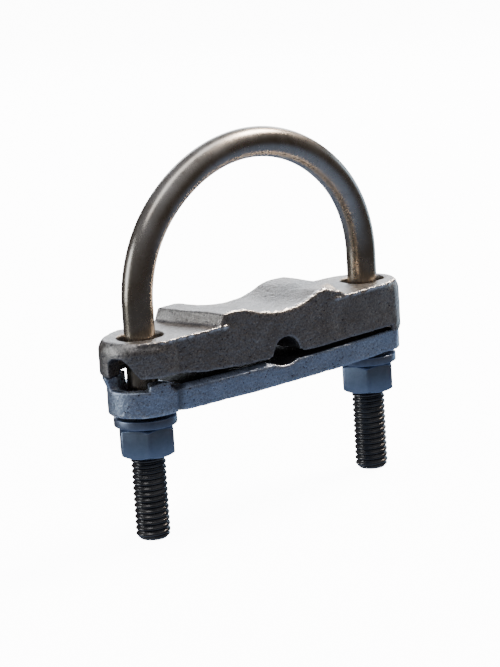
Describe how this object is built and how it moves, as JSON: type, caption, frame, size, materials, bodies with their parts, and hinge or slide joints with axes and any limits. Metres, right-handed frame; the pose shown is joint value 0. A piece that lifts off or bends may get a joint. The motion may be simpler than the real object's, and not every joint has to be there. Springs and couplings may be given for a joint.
{
  "type": "u-bolt pipe clamp",
  "caption": "U-bolt clamp that grips a pipe on a cast saddle and a round conductor between its two cast bars, drawn up by nuts on the threaded legs.",
  "frame": {"origin": "centre of the U-bolt's bend, midway between the legs at the height where they start to bend", "axes": "+X along the bars towards the plain ears, +Y along the clamped pipe, +Z from the leg ends up to the bend"},
  "size_m": [0.1081, 0.024, 0.1066],
  "materials": {
    "bent_rod": "satin, as drawn and bent",
    "casting": "rough sand cast with a bright grey plated coat",
    "fastener": "smooth dark grey"
  },
  "bodies": {
    "bolt": {"u_bolt": "bent_rod"},
    "saddle": {"saddle_body": "casting"},
    "bar": {"clamp_bar": "casting"},
    "left_washer": {"washer_left": "fastener"},
    "right_washer": {"washer_right": "fastener"},
    "left_nut": {"nut_left": "fastener"},
    "right_nut": {"nut_right": "fastener"}
  },
  "joints": [
    {"name": "saddle_slide", "type": "slide", "parent": "bolt", "child": "saddle", "axis": [0, 0, -1], "range_m": [-0.004, 0.014]},
    {"name": "bar_slide", "type": "slide", "parent": "saddle", "child": "bar", "axis": [0, 0, -1], "range_m": [0, 0.0048]},
    {"name": "left_washer_slide", "type": "slide", "parent": "bar", "child": "left_washer", "axis": [0, 0, -1], "range_m": [-0.0009, 0.0045]},
    {"name": "right_washer_slide", "type": "slide", "parent": "bar", "child": "right_washer", "axis": [0, 0, -1], "range_m": [-0.0009, 0.0045]},
    {"name": "left_nut_turn", "type": "hinge", "parent": "left_washer", "child": "left_nut", "pos_m": [-0.04315, 0, -0.0365], "axis": [0, 0, -1], "range_deg": [-205, 1021]},
    {"name": "right_nut_turn", "type": "hinge", "parent": "right_washer", "child": "right_nut", "pos_m": [0.04315, 0, -0.0365], "axis": [0, 0, -1], "range_deg": [-205, 1021]}
  ],
  "couplings": [
    {"joint": "left_nut_turn", "follows": "left_washer_slide", "rad_per_m": 3957.9},
    {"joint": "right_nut_turn", "follows": "right_washer_slide", "rad_per_m": 3957.9}
  ]
}
